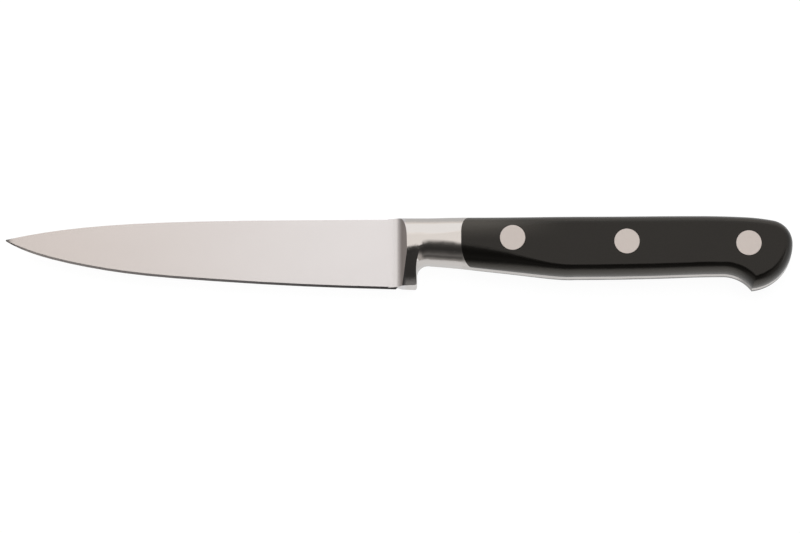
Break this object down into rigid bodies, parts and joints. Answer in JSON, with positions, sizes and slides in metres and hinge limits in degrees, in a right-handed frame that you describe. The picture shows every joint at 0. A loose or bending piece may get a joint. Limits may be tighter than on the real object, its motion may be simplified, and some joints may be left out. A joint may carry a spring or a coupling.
{
  "type": "paring knife",
  "caption": "Forged paring knife: tapered blade with full bolster and heel guard, full tang between black scales held by flush cutlery rivets, hooked butt.",
  "frame": {"origin": "centre of the knife's plan outline on the plane that it lies on, under its right scale", "axes": "+X from tip to butt along the knife, +Y towards the spine, +Z out of the knife's left side, so the knife lies on its right side"},
  "size_m": [0.2, 0.0186, 0.012],
  "materials": {
    "blade_steel": "fine satin grind on the blade, polished bolster",
    "grip_plastic": "black moulded plastic, buffed to a soft gloss",
    "rivet_metal": "ground flush, fine satin"
  },
  "bodies": {
    "root": {"blade_forging": "blade_steel", "left_scale": "grip_plastic", "right_scale": "grip_plastic", "front_rivet_male": "rivet_metal", "front_rivet_female": "rivet_metal", "middle_rivet_male": "rivet_metal", "middle_rivet_female": "rivet_metal", "rear_rivet_male": "rivet_metal", "rear_rivet_female": "rivet_metal"}
  },
  "joints": []
}
